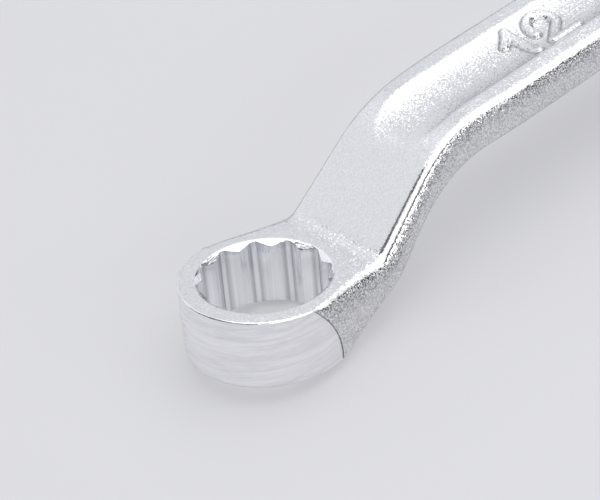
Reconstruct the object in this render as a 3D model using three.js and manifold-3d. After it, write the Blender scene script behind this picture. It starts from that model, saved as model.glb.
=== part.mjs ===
// Offset ring spanner, 12 x 13 mm, drop forged in one piece of chrome vanadium steel.
// Each end is a ring with a twelve-point opening, on a neck that is cranked up to a flat, fluted handle.
// Millimetres, +Z up, handle along X, small ring at -X, origin at the bottom centre of the whole spanner.
import * as THREE from 'three';
import { mergeVertices } from 'three/addons/utils/BufferGeometryUtils.js';
import Module from 'manifold-3d';

const wasm = await Module();
wasm.setup();

// Whole spanner
const OVERALL_LENGTH = 220;
const RING_TILT = THREE.MathUtils.degToRad(7.8); // each ring's face to the handle
const SMALL_FACE_TO_HANDLE_TOP = 7.43; // square to the handle, at the small ring's centre

// Rings: nominal width across flats, outside diameter and height of each
const SMALL_NOMINAL = 12;
const SMALL_DIAMETER = 17.5;
const SMALL_HEIGHT = 7.6;
const LARGE_NOMINAL = 13;
const LARGE_DIAMETER = 18.9;
const LARGE_HEIGHT = 8;
const TOP_EDGE_BREAK = 0.2;
const BOTTOM_EDGE_BREAK = 0.35;
const GROUND_FACE_STEP = 0.03; // the ring's ground face stands this far above the forged pad

// Openings
const OPENING_CLEARANCE = 0.1; // nominal width to the broached width
const CORNER_RELIEF_WIDTH = 0.8; // flat that the broach leaves in each outer corner
const CHAMFER_MARGIN = 0.16; // entry circle outside the sharp corners
const CHAMFER_ANGLE = THREE.MathUtils.degToRad(45); // to the ring's axis

// Forged flare that carries each ring, seen in a ring's own frame
const FLARE_PROUD = 0.07; // flare outside the turned ring, on each side
const FLARE_START_TOP = 1.1; // turned band's end, behind the ring's centre at the face
const FLARE_START_BOTTOM = 2.2; // and in front of it at the bottom
const FLARE_START_BOW = 0.95; // and how far its end bows out between the two
const FLARE_BOTTOM_LIFT = 0.4; // underside at its start, above the ring's bottom
const FLARE_TAPER = THREE.MathUtils.degToRad(8.5); // each side, seen from above
const FLARE_UNDERSIDE_ANGLE = THREE.MathUtils.degToRad(23.8);
const FLARE_EDGE_INSET = 0.33;
const FLARE_EDGE_DROP = 1.6;

// Necks
const NECK_ANGLE = THREE.MathUtils.degToRad(44); // to the ring's face
const NECK_UNDERSIDE_ANGLE = THREE.MathUtils.degToRad(50);
const NECK_THICKNESS = 3.5; // square to the neck's face, at the crease
const NECK_TAPER = THREE.MathUtils.degToRad(4.5); // each side, above the crease
const CREASE_GAP = 0.5; // ring's outside to the crease where the neck rises
const CREASE_RADIUS = 1;
const HEEL_RADIUS = 7;
const SHOULDER_RADIUS = 16;
const UNDER_SHOULDER_RADIUS = 18;
const WAIST_DISTANCE = 12.3; // ring's outside to the narrowest place
const SMALL_WAIST_WIDTH = 13.1;
const LARGE_WAIST_WIDTH = 13.9;

// Handle
const HANDLE_THICKNESS = 4.4;
const SHOULDER_DISTANCE = 22; // ring's outside to where the handle has its full width
const SMALL_SHOULDER_WIDTH = 14;
const LARGE_SHOULDER_WIDTH = 14.8;
const HANDLE_EDGE_RADIUS = 0.8;

// Flute along both faces of the handle
const FLUTE_WIDTH = 8.2;
const FLUTE_DEPTH = 0.75;
const FLUTE_START = 8; // ring's outside to the flute's rounded end
const FLUTE_RUN_OUT = 5; // length over which the flute reaches its full width and depth

// Facets
const RING_SEGMENTS = 84;
const PAD_STEPS = 6;
const CREASE_STEPS = 3;
const HEEL_STEPS = 6;
const NECK_STEPS = 3;
const SHOULDER_STEPS = 11;
const HANDLE_STEPS = 6;
const fluteShares = [0, 0.28, 0.54, 0.78, 1]; // of half the flute's width, from the middle out
const cornerShares = [0, 0.25, 0.5, 0.75, 1]; // of a quarter turn, round each long edge
const sideShares = [0.34, 0.66]; // of the side between its two long edges
const tipShare = 0.15; // of half the flute's width, for the section points that lie short of its start
const OVERRUN = 2; // cutters past the faces that they cut

const steel = new THREE.MeshStandardMaterial({ color: 0xd4d7dd, roughness: 0.32, metalness: 1 });

// What one end is worked out from. Each end has a frame of its own: x from the ring's axis towards the
// handle, z up from the ring's face. faceX is how far that frame lies from the spanner's middle.
function describeEnd(sizes) {
  const radius = sizes.diameter / 2;
  const openingWidth = sizes.nominal + OPENING_CLEARANCE;
  const reach = radius * Math.cos(RING_TILT) + (sizes.height - BOTTOM_EDGE_BREAK) * Math.sin(RING_TILT);
  return {
    ...sizes,
    radius,
    openingWidth,
    entryRadius: openingWidth / Math.sqrt(3) + CHAMFER_MARGIN,
    faceX: OVERALL_LENGTH / 2 - reach,
    faceHeight: (radius - BOTTOM_EDGE_BREAK) * Math.sin(RING_TILT) + sizes.height * Math.cos(RING_TILT),
  };
}

const small = describeEnd({
  turn: 0,
  nominal: SMALL_NOMINAL,
  diameter: SMALL_DIAMETER,
  height: SMALL_HEIGHT,
  waistWidth: SMALL_WAIST_WIDTH,
  shoulderWidth: SMALL_SHOULDER_WIDTH,
});
const large = describeEnd({
  turn: Math.PI,
  nominal: LARGE_NOMINAL,
  diameter: LARGE_DIAMETER,
  height: LARGE_HEIGHT,
  waistWidth: LARGE_WAIST_WIDTH,
  shoulderWidth: LARGE_SHOULDER_WIDTH,
});
const HANDLE_TOP = small.faceHeight + SMALL_FACE_TO_HANDLE_TOP;
const MIDDLE_WIDTH = (SMALL_SHOULDER_WIDTH + LARGE_SHOULDER_WIDTH) / 2;

// Matrix from a ring's frame to the spanner's. The large ring's frame is turned to face the small one's.
function endMatrix(end) {
  return new THREE.Matrix4()
    .makeRotationZ(end.turn)
    .multiply(new THREE.Matrix4().makeTranslation(-end.faceX, 0, end.faceHeight))
    .multiply(new THREE.Matrix4().makeRotationY(RING_TILT));
}

// Point of the handle in an end's frame, from how far it lies along the handle and below its upper face
function onHandle(end, along, below) {
  const rise = HANDLE_TOP - end.faceHeight - below;
  return new THREE.Vector2(along, rise).rotateAround(new THREE.Vector2(), RING_TILT);
}

// Point where a line through p at angle a meets a line through q at angle b
function meet(p, a, q, b) {
  const along = ((q.x - p.x) * Math.sin(b) - (q.y - p.y) * Math.cos(b)) / Math.sin(b - a);
  return new THREE.Vector2(p.x + along * Math.cos(a), p.y + along * Math.sin(a));
}

// Points along a straight line, without its last one
function lineSteps(from, to, steps) {
  return Array.from({ length: steps }, (_, i) => from.clone().lerp(to, i / steps));
}

// Arc of a given radius that rounds the corner between directions a and b, with both of its ends
function roundCorner(corner, a, b, radius, steps) {
  const reach = radius * Math.tan(Math.abs(b - a) / 2);
  const turn = Math.sign(b - a);
  const centre = new THREE.Vector2(
    corner.x - reach * Math.cos(a) - turn * radius * Math.sin(a),
    corner.y - reach * Math.sin(a) + turn * radius * Math.cos(a),
  );
  return Array.from({ length: steps + 1 }, (_, i) => {
    const direction = THREE.MathUtils.lerp(a, b, i / steps);
    return new THREE.Vector2(
      centre.x + turn * radius * Math.sin(direction),
      centre.y - turn * radius * Math.cos(direction),
    );
  });
}

// Underside of the shank in side view, as the points of a line that runs past both of its ends
function undersideLine(start, heel, bend, end) {
  return [
    start.clone().multiplyScalar(2).sub(heel),
    ...roundCorner(heel, FLARE_UNDERSIDE_ANGLE, NECK_UNDERSIDE_ANGLE, HEEL_RADIUS, HEEL_STEPS),
    ...roundCorner(bend, NECK_UNDERSIDE_ANGLE, RING_TILT, UNDER_SHOULDER_RADIUS, SHOULDER_STEPS),
    end.clone().multiplyScalar(2).sub(bend),
  ];
}

// Point of the underside that lies under a point of the upper face, at an angle from the ring's axis
function pointBelow(top, lean, underside) {
  const across = new THREE.Vector2(Math.cos(lean), Math.sin(lean));
  for (let i = 0; i < underside.length - 1; i += 1) {
    const edge = underside[i + 1].clone().sub(underside[i]);
    const share = top.clone().sub(underside[i]).dot(across) / edge.dot(across);
    if (share < 1) return underside[i].clone().addScaledVector(edge, share);
  }
  return underside.at(-1).clone();
}

// Places of the sections along the upper face: the ring's pad, the crease, the neck, the shoulder and the
// handle. Each leans from the ring's axis so that it stands square to the face, but at the flare's start.
function stations(start, startLean, crease, shoulder, end) {
  const creaseArc = roundCorner(crease, 0, NECK_ANGLE, CREASE_RADIUS, CREASE_STEPS);
  const shoulderArc = roundCorner(shoulder, NECK_ANGLE, RING_TILT, SHOULDER_RADIUS, SHOULDER_STEPS);
  const shoulderLean = (i) => THREE.MathUtils.lerp(NECK_ANGLE, RING_TILT, i / SHOULDER_STEPS);
  return [
    ...lineSteps(start, creaseArc[0], PAD_STEPS).map((top, i) =>
      ({ top, lean: THREE.MathUtils.lerp(startLean, NECK_ANGLE, i / PAD_STEPS) })),
    ...creaseArc.slice(0, -1).map((top) => ({ top, lean: NECK_ANGLE })),
    ...lineSteps(creaseArc.at(-1), shoulderArc[0], NECK_STEPS).map((top) => ({ top, lean: NECK_ANGLE })),
    ...shoulderArc.slice(0, -1).map((top, i) => ({ top, lean: shoulderLean(i) })),
    ...lineSteps(shoulderArc.at(-1), end, HANDLE_STEPS).map((top) => ({ top, lean: RING_TILT })),
    { top: end, lean: RING_TILT },
  ];
}

// Smooth curve with a given slope at each end
function ease(x, x0, y0, slope0, x1, y1, slope1) {
  const span = x1 - x0;
  const t = (x - x0) / span;
  const rise = y1 - y0;
  const bend0 = slope0 * span - rise;
  const bend1 = rise - slope1 * span;
  return y0 + t * rise + t * (1 - t) * ((1 - t) * bend0 + t * bend1);
}

// Half the shank's width at a distance from the ring's axis: round the ring, along the flare that leaves
// it at a tangent, then in to the waist and out to the handle
function halfWidth(end, x) {
  const creaseX = end.radius + CREASE_GAP;
  const flareRadius = end.radius + FLARE_PROUD;
  const creaseHalf = flareRadius / Math.cos(FLARE_TAPER) - creaseX * Math.tan(FLARE_TAPER);
  const waistX = end.radius + WAIST_DISTANCE;
  const shoulderX = end.radius + SHOULDER_DISTANCE;
  const handleSlope = (MIDDLE_WIDTH - end.shoulderWidth) / 2 / (onHandle(end, end.faceX, 0).x - shoulderX);
  if (x < flareRadius * Math.sin(FLARE_TAPER)) return Math.sqrt(flareRadius ** 2 - x ** 2);
  if (x < creaseX) return creaseHalf + (creaseX - x) * Math.tan(FLARE_TAPER);
  const waistHalf = end.waistWidth / 2;
  const shoulderHalf = end.shoulderWidth / 2;
  if (x < waistX) return ease(x, creaseX, creaseHalf, -Math.tan(NECK_TAPER), waistX, waistHalf, 0);
  if (x < shoulderX) return ease(x, waistX, waistHalf, 0, shoulderX, shoulderHalf, handleSlope);
  return shoulderHalf + handleSlope * (x - shoulderX);
}

// Half of the flute across a section, from its middle out: a shallow arc that starts with a rounded end
function fluteQuarter(end, x) {
  const along = THREE.MathUtils.clamp((x - end.radius - FLUTE_START) / FLUTE_RUN_OUT, 0, 1);
  const half = FLUTE_WIDTH / 2 * Math.max(Math.sqrt(1 - (1 - along) ** 2), tipShare);
  const depth = FLUTE_DEPTH * THREE.MathUtils.smoothstep(along, 0, 1);
  return fluteShares.map((share) => ({ across: share * half, depth: depth * (1 - share ** 2) }));
}

// One quarter of a section, from the middle of a face to the middle of a side. Each point has its depth
// below the face, and either its place across the flute or how far it lies in from the side.
function sectionQuarter(end, x, thickness) {
  const flareShare = 1 - THREE.MathUtils.smoothstep(x, end.radius, end.radius + WAIST_DISTANCE);
  const inset = THREE.MathUtils.lerp(HANDLE_EDGE_RADIUS, FLARE_EDGE_INSET, flareShare);
  const drop = THREE.MathUtils.lerp(HANDLE_EDGE_RADIUS, FLARE_EDGE_DROP, flareShare);
  const quarterTurn = Math.PI / 2;
  return [
    ...fluteQuarter(end, x),
    ...cornerShares.map((share) => ({
      inward: inset * (1 - Math.sin(share * quarterTurn)),
      depth: drop * (1 - Math.cos(share * quarterTurn)),
    })),
    ...sideShares.map((share) => ({ inward: 0, depth: THREE.MathUtils.lerp(drop, thickness / 2, share) })),
  ];
}

// Closed section of the shank between a point of its upper face and one of its underside
function section(end, top, bottom) {
  const down = bottom.clone().sub(top);
  const thickness = down.length();
  const creaseX = end.radius + CREASE_GAP;
  const bow = FLARE_START_BOW * THREE.MathUtils.clamp((creaseX - top.x) / (creaseX + FLARE_START_TOP), 0, 1);
  const place = (side, { across, inward, depth }) => {
    const share = depth / thickness;
    const x = top.x + down.x * share + 4 * bow * share * (1 - share);
    const y = inward === undefined ? across : halfWidth(end, x) - inward;
    return new THREE.Vector3(x, side * y, top.y + down.y * share);
  };
  const quarter = sectionQuarter(end, top.x, thickness);
  const inner = quarter.slice(1);
  const lower = quarter.map((point) => ({ ...point, depth: thickness - point.depth }));
  return [
    ...inner.toReversed().map((point) => place(-1, point)),
    ...quarter.map((point) => place(1, point)),
    ...lower.toReversed().map((point) => place(1, point)),
    ...lower.slice(1).map((point) => place(-1, point)),
  ];
}

// Sections of one end's shank, from inside its ring to the middle of the handle
function shankSections(end) {
  const matrix = endMatrix(end);
  const start = new THREE.Vector2(-FLARE_START_TOP, -GROUND_FACE_STEP);
  const crease = new THREE.Vector2(end.radius + CREASE_GAP, -GROUND_FACE_STEP);
  const shoulder = meet(crease, NECK_ANGLE, onHandle(end, 0, 0), RING_TILT);
  const underStart = new THREE.Vector2(FLARE_START_BOTTOM, FLARE_BOTTOM_LIFT - end.height);
  const underNeck = new THREE.Vector2(crease.x + NECK_THICKNESS / Math.sin(NECK_ANGLE), crease.y);
  const heel = meet(underStart, FLARE_UNDERSIDE_ANGLE, underNeck, NECK_UNDERSIDE_ANGLE);
  const bend = meet(underNeck, NECK_UNDERSIDE_ANGLE, onHandle(end, 0, HANDLE_THICKNESS), RING_TILT);
  const underside = undersideLine(underStart, heel, bend, onHandle(end, end.faceX, HANDLE_THICKNESS));
  const startLean = Math.atan2(underStart.x - start.x, start.y - underStart.y);
  return stations(start, startLean, crease, shoulder, onHandle(end, end.faceX, 0)).map(({ top, lean }) =>
    section(end, top, pointBelow(top, lean, underside)).map((point) => point.applyMatrix4(matrix)));
}

function middleOf(points) {
  return points.reduce((sum, point) => sum.add(point), new THREE.Vector3()).divideScalar(points.length);
}

// Closed skin over a row of sections that all have the same number of points, with a fan over each end
function loft(sections) {
  const count = sections[0].length;
  const last = (sections.length - 1) * count;
  const points = [...sections.flat(), middleOf(sections[0]), middleOf(sections.at(-1))];
  const coordinates = points.flatMap((point) => [point.x, point.y, point.z]);
  const faces = [];
  for (let i = 0; i < count; i += 1) {
    const next = (i + 1) % count;
    faces.push(points.length - 2, i, next);
    faces.push(points.length - 1, last + next, last + i);
    for (let row = 0; row < last; row += count) {
      faces.push(row + i, row + count + i, row + next);
      faces.push(row + next, row + count + i, row + count + next);
    }
  }
  const geometry = new THREE.BufferGeometry();
  geometry.setAttribute('position', new THREE.Float32BufferAttribute(coordinates, 3));
  geometry.setIndex(faces);
  return geometry;
}

function toSolid(geometry) {
  const bare = geometry.clone();
  bare.deleteAttribute('normal');
  bare.deleteAttribute('uv');
  const merged = mergeVertices(bare);
  return new wasm.Manifold(new wasm.Mesh({
    numProp: 3,
    vertProperties: new Float32Array(merged.attributes.position.array),
    triVerts: new Uint32Array(merged.index.array),
  }));
}

function toGeometry(solid) {
  const mesh = solid.getMesh();
  const geometry = new THREE.BufferGeometry();
  geometry.setAttribute('position', new THREE.BufferAttribute(new Float32Array(mesh.vertProperties), 3));
  geometry.setIndex(new THREE.BufferAttribute(new Uint32Array(mesh.triVerts), 1));
  geometry.computeVertexNormals();
  return geometry;
}

// Solid turned about a ring's axis from a profile of radius and height
function turned(profile, matrix) {
  const geometry = new THREE.LatheGeometry(profile.map(([r, z]) => new THREE.Vector2(r, z)), RING_SEGMENTS);
  geometry.rotateX(Math.PI / 2);
  return toSolid(geometry.applyMatrix4(matrix));
}

function ringBlank(end) {
  return turned([
    [0, -end.height],
    [end.radius - BOTTOM_EDGE_BREAK, -end.height],
    [end.radius, BOTTOM_EDGE_BREAK - end.height],
    [end.radius, -TOP_EDGE_BREAK],
    [end.radius - TOP_EDGE_BREAK, 0],
    [0, 0],
  ], endMatrix(end));
}

// Twelve-point opening: two hexagons turned by 30 degrees, each outer corner cut off by a narrow flat
function broachOutline(width) {
  const cornerRadius = width / Math.sqrt(3) - CORNER_RELIEF_WIDTH / 2 / Math.tan(Math.PI / 3);
  const innerRadius = width / 2 / Math.cos(Math.PI / 12);
  const outline = new THREE.Shape();
  for (let point = 0; point < 12; point += 1) {
    const corner = point * Math.PI / 6;
    const inner = corner + Math.PI / 12;
    const cornerX = cornerRadius * Math.cos(corner);
    const cornerY = cornerRadius * Math.sin(corner);
    const flatX = CORNER_RELIEF_WIDTH / 2 * Math.sin(corner);
    const flatY = CORNER_RELIEF_WIDTH / 2 * Math.cos(corner);
    if (point === 0) outline.moveTo(cornerX + flatX, cornerY - flatY);
    else outline.lineTo(cornerX + flatX, cornerY - flatY);
    outline.lineTo(cornerX - flatX, cornerY + flatY);
    outline.lineTo(innerRadius * Math.cos(inner), innerRadius * Math.sin(inner));
  }
  outline.closePath();
  return outline;
}

function openingCutters(end) {
  const matrix = endMatrix(end);
  const below = -end.height - OVERRUN;
  const broach = new THREE.ExtrudeGeometry(broachOutline(end.openingWidth), {
    depth: OVERRUN - below,
    bevelEnabled: false,
  });
  broach.translate(0, 0, below);
  const coneDepth = end.entryRadius / Math.tan(CHAMFER_ANGLE);
  const mouthRadius = end.entryRadius + OVERRUN * Math.tan(CHAMFER_ANGLE);
  return [
    toSolid(broach.applyMatrix4(matrix)),
    turned([[0, -coneDepth], [mouthRadius, OVERRUN], [0, OVERRUN]], matrix),
    turned([[0, below], [mouthRadius, below], [0, coneDepth - end.height]], matrix),
  ];
}

// The large end's frame is turned round, so its sections are mirrored across Y before they are joined on
function mirroredPoints(points) {
  return points.map(({ x, y, z }) => new THREE.Vector3(x, -y, z));
}

function spannerBody() {
  const farSections = shankSections(large).map(mirroredPoints).slice(0, -1).toReversed();
  const shank = toSolid(loft([...shankSections(small), ...farSections]));
  let solid = shank.add(ringBlank(small)).add(ringBlank(large));
  for (const cutter of [...openingCutters(small), ...openingCutters(large)]) solid = solid.subtract(cutter);
  const mesh = new THREE.Mesh(toGeometry(solid), steel);
  mesh.name = 'spanner_body';
  return mesh;
}

const spanner = new THREE.Group();
spanner.add(spannerBody());

export default spanner;
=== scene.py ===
import bpy
import numpy as np
from bpy.props import FloatProperty, FloatVectorProperty, IntProperty, PointerProperty
from mathutils import Matrix


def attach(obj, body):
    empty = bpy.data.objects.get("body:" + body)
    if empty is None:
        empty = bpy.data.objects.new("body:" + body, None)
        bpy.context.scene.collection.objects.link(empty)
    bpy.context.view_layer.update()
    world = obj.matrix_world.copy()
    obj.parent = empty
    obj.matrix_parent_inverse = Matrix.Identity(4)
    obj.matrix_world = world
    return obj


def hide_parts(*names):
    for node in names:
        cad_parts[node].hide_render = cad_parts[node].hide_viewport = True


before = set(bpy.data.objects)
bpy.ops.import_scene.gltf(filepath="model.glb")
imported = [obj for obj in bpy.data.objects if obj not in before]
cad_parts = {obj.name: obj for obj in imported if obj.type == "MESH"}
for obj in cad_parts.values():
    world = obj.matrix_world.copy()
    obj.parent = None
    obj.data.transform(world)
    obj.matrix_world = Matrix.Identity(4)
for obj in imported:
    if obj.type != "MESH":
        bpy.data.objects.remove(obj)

bl_info = {
    "name": "Cranked ring spanner",
    "version": (1, 0, 0),
    "blender": (4, 5, 0),
    "location": "View3D > Sidebar > Spanner",
    "description": "A 12 x 13 mm cranked ring spanner in satin chrome, on a pale studio floor",
    "category": "Add Mesh",
}

MM = 0.001
POINT = np.pi / 6  # turn of one of the twelve points of an opening
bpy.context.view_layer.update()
BODY = "root"
CAD_NODE = "spanner_body"


def length(name, text, millimetres):
    """Property that holds a length, given in millimetres and kept in metres."""
    return FloatProperty(name=name, description=text, default=millimetres * MM, unit="LENGTH", precision=6)


def angle(name, text, degrees):
    """Property that holds an angle, given in degrees and kept in radians."""
    return FloatProperty(name=name, description=text, default=np.radians(degrees), subtype="ANGLE")


def share(name, text, value):
    """Property that holds a number without a unit."""
    return FloatProperty(name=name, description=text, default=value)


def count(name, text, value):
    """Property that holds a number of rows or sections."""
    return IntProperty(name=name, description=text, default=value)


def linear(colour):
    """sRGB hex colour as the linear red, green and blue that Blender works with."""
    values = np.array([int(colour[i:i + 2], 16) for i in (1, 3, 5)]) / 255
    return tuple(np.where(values <= 0.04045, values / 12.92, ((values + 0.055) / 1.055) ** 2.4))


def colour(name, text, value):
    """Property that holds a colour, given as sRGB hex."""
    return FloatVectorProperty(name=name, description=text, default=linear(value), subtype="COLOR", size=3)


class SpannerSizes(bpy.types.PropertyGroup):
    """Sizes of the forging, its two rings and its flute"""

    overall_length: length("Overall length", "Over both rings", 220)
    ring_tilt: angle("Ring tilt", "Each ring's face to the handle", 7.8)
    face_to_handle: length("Face to handle", "Small ring's face to the handle's top, at its axis", 7.43)
    small_nominal: length("Small size", "Width across flats that the small ring fits", 12)
    small_diameter: length("Small diameter", "Outside of the small ring", 17.5)
    small_height: length("Small height", "Height of the small ring", 7.6)
    small_waist: length("Small waist", "Narrowest place of the small ring's neck", 13.1)
    small_shoulder: length("Small shoulder", "Handle's width at the small ring", 14)
    large_nominal: length("Large size", "Width across flats that the large ring fits", 13)
    large_diameter: length("Large diameter", "Outside of the large ring", 18.9)
    large_height: length("Large height", "Height of the large ring", 8)
    large_waist: length("Large waist", "Narrowest place of the large ring's neck", 13.9)
    large_shoulder: length("Large shoulder", "Handle's width at the large ring", 14.8)
    top_break: length("Top edge", "Rounding of a ring's top edge", 0.16)
    bottom_break: length("Bottom edge", "Rounding of a ring's bottom edge", 0.35)
    clearance: length("Clearance", "Broached width less the nominal width", 0.1)
    relief_width: length("Corner relief", "Flat that the broach leaves in each outer corner", 0.5)
    chamfer_margin: length("Chamfer margin", "Entry circle outside the sharp corners", 0.02)
    chamfer_rise: share("Chamfer rise", "Depth of the entry chamfer, as a share of its width", 0.76)
    broach_round: length("Broached corners", "Softness of the opening's corners", 0.03)
    entry_edge: length("Entry edge", "Rounding of the entry chamfer's two edges, along each side", 0.06)
    flare_proud: length("Flare step", "Forged flare outside the ground ring", 0.12)
    band_top: length("Ring's end, top", "Ground band's end behind the ring's axis, at the face", 1.1)
    band_bottom: length("Ring's end, bottom", "Ground band's end before the ring's axis, at the bottom", 2.2)
    band_bow: length("Ring's end, bow", "How far the band's end bows out", 0.95)
    flare_lift: length("Flare lift", "Flare's underside at its start, above the ring's bottom", 0.4)
    flare_taper: angle("Flare taper", "Each side of the flare, seen from above", 8.5)
    flare_underside: angle("Flare underside", "Underside of the flare to the ring's face", 23.8)
    flare_edge: length("Flare edges", "Rounding of the flare's long edges", 1.45)
    flare_cut: length("Flare cut", "How far that rounding cuts into the face beside the ground band", 0.35)
    cut_slack: length("Cut slack", "How much less it cuts in from the ring's outside than down", 0.07)
    rim_cut: length("Rim cut", "How far short of the rim a ring's face ends where the flare takes over", 0.66)
    rim_ramp: angle("Rim ramp", "Turn over which it draws in there, from the ground band's end", 3.438)
    low_lip: length("Low lip", "Inset of the flare's lower edges beside the ground band", 0.05)
    neck_angle: angle("Neck", "Top of the neck to the ring's face", 44)
    neck_underside: angle("Neck underside", "Underside of the neck to the ring's face", 50)
    neck_thickness: length("Neck thickness", "Neck's thickness, square to it at the crease", 3.5)
    neck_taper: angle("Neck taper", "Each side of the neck above the crease", 4.5)
    crease_gap: length("Crease", "Ring's outside to the crease where the neck rises", 0.5)
    crease_radius: length("Crease radius", "Fillet between the ring's face and the neck", 2.2)
    heel_radius: length("Heel radius", "Bend under the crease", 7)
    shoulder_radius: length("Shoulder radius", "Bend from neck to handle, on top", 16)
    under_shoulder_radius: length("Under shoulder radius", "Bend from neck to handle, below", 18)
    waist_distance: length("Waist", "Ring's outside to the narrowest place", 12.3)
    shoulder_distance: length("Shoulder", "Ring's outside to the handle's full width", 22)
    handle_thickness: length("Handle thickness", "Handle over both faces", 4.4)
    edge_radius: length("Handle edges", "Rounding of the handle's long edges", 1.0)
    low_edge_radius: length("Handle low edges", "Rounding of the handle's long edges below", 0.6)
    flute_width: length("Flute width", "Flute's width", 8.2)
    flute_depth: length("Flute depth", "Flute's depth in its middle", 0.75)
    flute_start: length("Flute start", "Ring's outside to the flute's rounded end", 8)
    flute_run_out: length("Flute run-out", "Length over which the flute gets its width and depth", 5)
    flute_power: share("Flute shape", "2 is a parabola across the flute, and more has a flatter bottom", 2.5)
    flute_lip: share("Flute lip", "Softness of the flute's border, as a share of its depth", 0.12)


class MarkSizes(bpy.types.PropertyGroup):
    """Sizes of the raised size numbers in the flute"""

    distance: length("Distance", "Ring's axis to the middle of the number", 39.2)
    digit_height: length("Digit height", "Middle of the lowest stroke to the middle of the highest", 5.6)
    lift: length("Lift", "Middle of the number from the handle's middle line", -0.1)
    stroke: length("Stroke", "Width of a stroke's flat top", 0.72)
    wall: length("Wall", "Width of the slope beside a stroke", 0.32)
    relief: length("Relief", "Height of the number above the flute", 0.42)
    # Painted shade round the digits' foot: how much, and how far it reaches to each side
    painted_shade: share("Residue", "How much polishing residue lies round the digits' foot", 0.5)
    painted_shade_width: length("Residue width", "How far it reaches to each side of the foot", 0.17)
    slant: share("Slant", "How far the digits lean, as a share of their height", 0.145)
    reach: length("Reach", "Half the stretch of close sections through the number", 5.6)


class MeshSteps(bpy.types.PropertyGroup):
    """How finely the surfaces are divided"""

    corner: count("Corner", "Rows round a long edge", 6)
    small_corner: count("Ring edge", "Rows round an edge of a ring", 4)
    wall: count("Wall", "Rows up the opening's wall", 6)
    face: count("Face", "Rows over a ring's face, and down the lowest part of its outside", 4)
    side: count("Side", "Rows down a side", 10)
    crease: count("Crease", "Sections round the crease", 8)
    neck: count("Neck", "Sections along the neck", 8)
    shoulder: count("Shoulder", "Sections round the shoulder", 32)
    mark: count("Number", "Sections through the number", 84)
    handle: count("Handle", "Sections along each plain stretch of the handle", 12)


class FinishColours(bpy.types.PropertyGroup):
    """Colours of the chrome, the floor and the lamps"""

    shine: colour("Bright grains", "Lightest grains of the blasted steel", "#FEFEFF")
    dent: colour("Dark grains", "Darkest grains of the blasted steel", "#6E6F74")
    # Colour of painted shade: a dark line in the step beside the ground band, and round the digits' foot
    painted_shade: colour("Step dirt", "Polishing residue in the step beside the ground band", "#2E3138")
    ground: colour("Ground chrome", "Ground and plated steel", "#F8F8FA")
    broached: colour("Broached chrome", "Broached and plated steel", "#FCFDFF")
    # Colour of the painted shade beside the corners of the opening
    corner_shade_colour: colour("Thin chrome", "Thin plate in the opening's corners", "#3C4658")
    floor: colour("Floor", "Studio floor", "#DCDCE0")
    world: colour("Room", "Light from all round", "#F2F4FA")
    sky: colour("Cool light", "Panels behind the spanner and on its right", "#F1F3F8")
    low_sky: colour("Low cool light", "Strip behind the spanner, low down", "#D4DCEC")
    key: colour("Key light", "Main lamps", "#FFFFFF")


def describe_end(p, side):
    """Sizes of one end, and where its ring's frame lies: x from the ring's axis towards the handle, z up from
    the ring's face. That frame lies face_x from the spanner's middle and face_z above the ground."""
    radius = getattr(p, side + "_diameter") / 2
    height = getattr(p, side + "_height")
    opening = getattr(p, side + "_nominal") + p.clearance
    tilt = p.ring_tilt
    return {
        "radius": radius,
        "height": height,
        "opening": opening,
        "entry": opening / np.sqrt(3) + p.chamfer_margin,
        "crease": radius + p.crease_gap,
        "waist": getattr(p, side + "_waist") / 2,
        "shoulder": getattr(p, side + "_shoulder") / 2,
        "face_x": p.overall_length / 2 - radius * np.cos(tilt) - (height - p.bottom_break) * np.sin(tilt),
        "face_z": (radius - p.bottom_break) * np.sin(tilt) + height * np.cos(tilt),
        "digits": "12" if side == "small" else "13",
    }


def end_matrix(p, end, turned):
    """Matrix from a ring's frame to the spanner's, with the large ring's turned to face the small one's."""
    turn = Matrix.Rotation(np.pi if turned else 0, 4, "Z")
    place = Matrix.Translation((-end["face_x"], 0, end["face_z"]))
    return np.array(turn @ place @ Matrix.Rotation(p.ring_tilt, 4, "Y"))


def smooth(value, low, high):
    """Smooth step: 0 below low, 1 above high, and a cubic with level ends between them."""
    t = np.clip((value - low) / (high - low), 0, 1)
    return t * t * (3 - 2 * t)


def soft_larger(a, b, softness):
    """The larger of two values, with the corner where they cross rounded: half of their sum plus the root of
    their squared difference and the squared softness."""
    return (a + b + np.sqrt((a - b) ** 2 + softness ** 2)) / 2


def ease(x, x0, y0, slope0, x1, y1, slope1):
    """Cubic through two points with a given slope at each."""
    span = x1 - x0
    t = (x - x0) / span
    rise = y1 - y0
    return y0 + t * rise + t * (1 - t) * ((1 - t) * (slope0 * span - rise) + t * (rise - slope1 * span))


def meet(p, a, q, b):
    """Point where a line through p at angle a meets a line through q at angle b."""
    along = ((q[0] - p[0]) * np.sin(b) - (q[1] - p[1]) * np.cos(b)) / np.sin(b - a)
    return np.array([p[0] + along * np.cos(a), p[1] + along * np.sin(a)])


def round_corner(corner, a, b, radius, steps):
    """Arc that rounds the corner between directions a and b, with both of its ends: its centre lies one
    radius to the side of each line."""
    turn = np.sign(b - a)
    back = radius * np.tan(abs(b - a) / 2) * np.array([np.cos(a), np.sin(a)])
    centre = corner - back + turn * radius * np.array([-np.sin(a), np.cos(a)])
    direction = np.linspace(a, b, steps + 1)
    return centre + turn * radius * np.stack([np.sin(direction), -np.cos(direction)], -1)


def on_handle(p, end, along, below):
    """Point of the handle in an end's frame, from how far it lies along the handle and below its top."""
    rise = end["handle_top"] - end["face_z"] - below
    c, s = np.cos(p.ring_tilt), np.sin(p.ring_tilt)
    return np.array([along * c - rise * s, along * s + rise * c])


def turn_from_corner(azimuth):
    """Angle from an azimuth to the nearest outer corner of the twelve-point opening."""
    return np.abs((azimuth + POINT / 2) % POINT - POINT / 2)


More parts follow.
